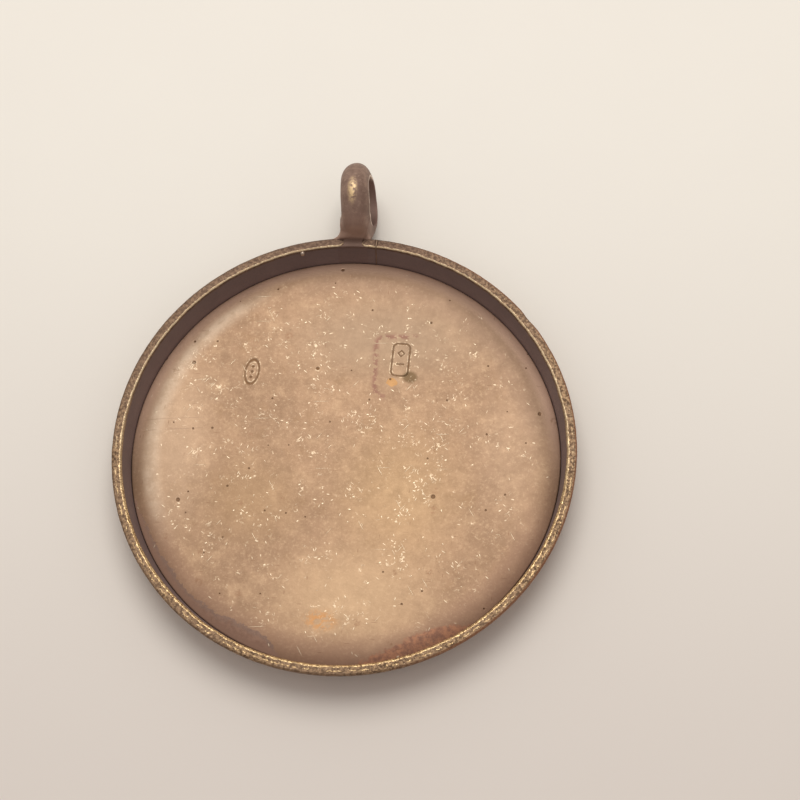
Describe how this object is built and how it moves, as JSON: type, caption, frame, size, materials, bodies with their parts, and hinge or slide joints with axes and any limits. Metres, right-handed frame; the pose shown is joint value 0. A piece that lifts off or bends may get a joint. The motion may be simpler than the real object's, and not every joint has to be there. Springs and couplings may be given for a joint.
{
  "type": "locket case",
  "caption": "Open round locket case: shallow tray with a lipped side band, a gently domed floor and a fixed ring bail.",
  "frame": {"origin": "centre of the round case on the plane that its foot rests on", "axes": "+Z out of the open mouth of the case, +Y towards the bail, +X to the right seen from the open side with the bail up"},
  "size_m": [0.028, 0.0329, 0.0051],
  "materials": {
    "band_metal": "worn and tarnished, burnished along the inside edge",
    "seam_solder": "dull solder line, filed flush",
    "floor_metal": "rose-gold coloured, finely scratched, patina at the margin",
    "floor_solder": "dull, as flowed",
    "bail_metal": "dark brown patina with worn spots",
    "bail_solder": "dark brown patina",
    "bead_solder": "small bright bead"
  },
  "bodies": {
    "root": {"side_band": "band_metal", "band_seam_solder": "seam_solder", "floor_sheet": "floor_metal", "floor_solder": "floor_solder", "bail": "bail_metal", "bail_solder_left": "bail_solder", "bail_solder_right": "bail_solder", "solder_bead": "bead_solder"}
  },
  "joints": []
}
